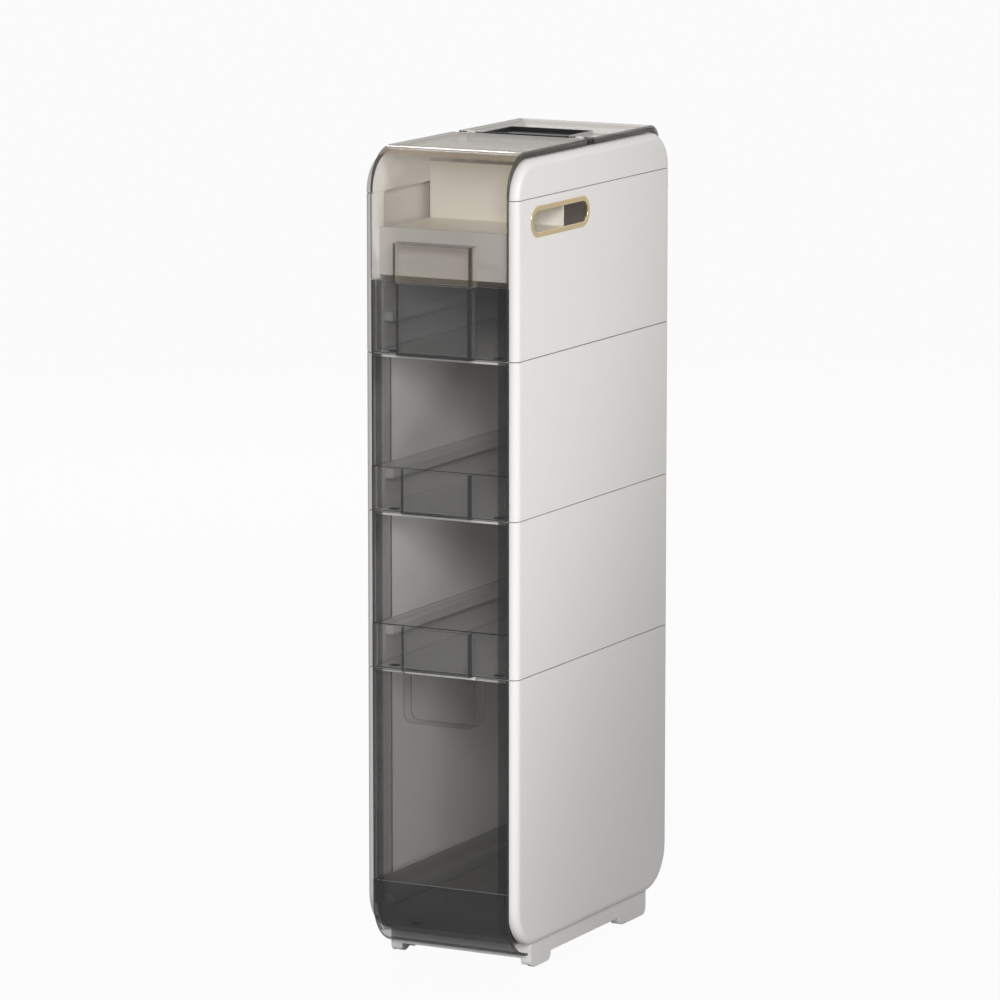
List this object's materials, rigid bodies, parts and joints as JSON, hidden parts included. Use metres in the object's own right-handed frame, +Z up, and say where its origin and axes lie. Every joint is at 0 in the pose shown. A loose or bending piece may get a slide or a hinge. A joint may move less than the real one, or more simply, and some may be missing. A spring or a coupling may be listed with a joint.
{
  "type": "rolling drawer cabinet",
  "caption": "Slim rolling bathroom cabinet with stacked smoked pull-out drawers, clear hinged top covers, a brass-ringed paper outlet and a low wheeled base.",
  "frame": {"origin": "on the floor, under the middle of the cabinet's outline", "axes": "+Z up, the drawers open towards -Y, +X to the right seen from the front"},
  "size_m": [0.22, 0.466, 1.065],
  "materials": {
    "white_plastic": "satin white",
    "smoked_plastic": "polished, see-through grey",
    "clear_plastic": "polished, see-through warm grey",
    "black_plastic": "matt",
    "brass": "satin",
    "steel": "brushed",
    "wheel_plastic": "satin grey"
  },
  "bodies": {
    "cabinet": {"base_tray": "white_plastic", "foot_front_left": "white_plastic", "foot_front_right": "white_plastic", "foot_rear_left": "white_plastic", "foot_rear_right": "white_plastic", "left_panel_1": "white_plastic", "left_panel_2": "white_plastic", "left_panel_3": "white_plastic", "left_panel_4": "white_plastic", "right_panel_1": "white_plastic", "right_panel_2": "white_plastic", "right_panel_3": "white_plastic", "right_panel_4": "white_plastic", "back_panel_1": "white_plastic", "back_panel_2": "white_plastic", "back_panel_3": "white_plastic", "back_panel_4": "white_plastic", "shelf_1": "white_plastic", "shelf_2": "white_plastic", "shelf_3": "white_plastic", "bottom_floor": "white_plastic", "joining_pegs": "white_plastic", "rails_1": "white_plastic", "rails_2": "white_plastic", "rails_3": "white_plastic", "rails_4": "white_plastic", "top_frame": "white_plastic", "top_tray": "white_plastic", "bay_divider": "white_plastic", "fascia": "white_plastic", "outlet_ring": "brass", "wheel_axles": "steel", "foot_screws": "steel", "floor_screws": "steel", "back_screws": "steel", "front_cover_pins": "steel", "rear_cover_pins": "steel"},
    "front_left_wheel": {"wheel_front_left": "wheel_plastic"},
    "front_right_wheel": {"wheel_front_right": "wheel_plastic"},
    "rear_left_wheel": {"wheel_rear_left": "wheel_plastic"},
    "rear_right_wheel": {"wheel_rear_right": "wheel_plastic"},
    "drawer_1": {"drawer_1_tub": "smoked_plastic", "drawer_1_pads": "black_plastic"},
    "drawer_2": {"drawer_2_tub": "smoked_plastic", "drawer_2_window": "smoked_plastic", "drawer_2_pads": "black_plastic"},
    "drawer_3": {"drawer_3_tub": "smoked_plastic", "drawer_3_window": "smoked_plastic", "drawer_3_pads": "black_plastic"},
    "drawer_4": {"drawer_4_tub": "smoked_plastic", "drawer_4_window": "smoked_plastic", "drawer_4_pads": "black_plastic"},
    "front_lid": {"front_cover": "clear_plastic"},
    "rear_lid": {"rear_cover": "clear_plastic", "slot_liner": "black_plastic"}
  },
  "joints": [
    {"name": "drawer_1_slide", "type": "slide", "parent": "cabinet", "child": "drawer_1", "axis": [0, -1, 0], "range_m": [0, 0.32]},
    {"name": "drawer_2_slide", "type": "slide", "parent": "cabinet", "child": "drawer_2", "axis": [0, -1, 0], "range_m": [0, 0.32]},
    {"name": "drawer_3_slide", "type": "slide", "parent": "cabinet", "child": "drawer_3", "axis": [0, -1, 0], "range_m": [0, 0.32]},
    {"name": "drawer_4_slide", "type": "slide", "parent": "cabinet", "child": "drawer_4", "axis": [0, -1, 0], "range_m": [0, 0.32]},
    {"name": "front_left_wheel_turn", "type": "hinge", "parent": "cabinet", "child": "front_left_wheel", "pos_m": [-0.09535, -0.136, 0.0145], "axis": [1, 0, 0], "continuous": true},
    {"name": "front_right_wheel_turn", "type": "hinge", "parent": "cabinet", "child": "front_right_wheel", "pos_m": [0.09535, -0.136, 0.0145], "axis": [1, 0, 0], "continuous": true},
    {"name": "rear_left_wheel_turn", "type": "hinge", "parent": "cabinet", "child": "rear_left_wheel", "pos_m": [-0.09535, 0.163, 0.0145], "axis": [1, 0, 0], "continuous": true},
    {"name": "rear_right_wheel_turn", "type": "hinge", "parent": "cabinet", "child": "rear_right_wheel", "pos_m": [0.09535, 0.163, 0.0145], "axis": [1, 0, 0], "continuous": true},
    {"name": "front_lid_hinge", "type": "hinge", "parent": "cabinet", "child": "front_lid", "pos_m": [0, 0.008, 1.0585], "axis": [-1, 0, 0], "range_deg": [0, 90]},
    {"name": "rear_lid_hinge", "type": "hinge", "parent": "cabinet", "child": "rear_lid", "pos_m": [0, 0.03, 1.0585], "axis": [1, 0, 0], "range_deg": [0, 90]}
  ]
}
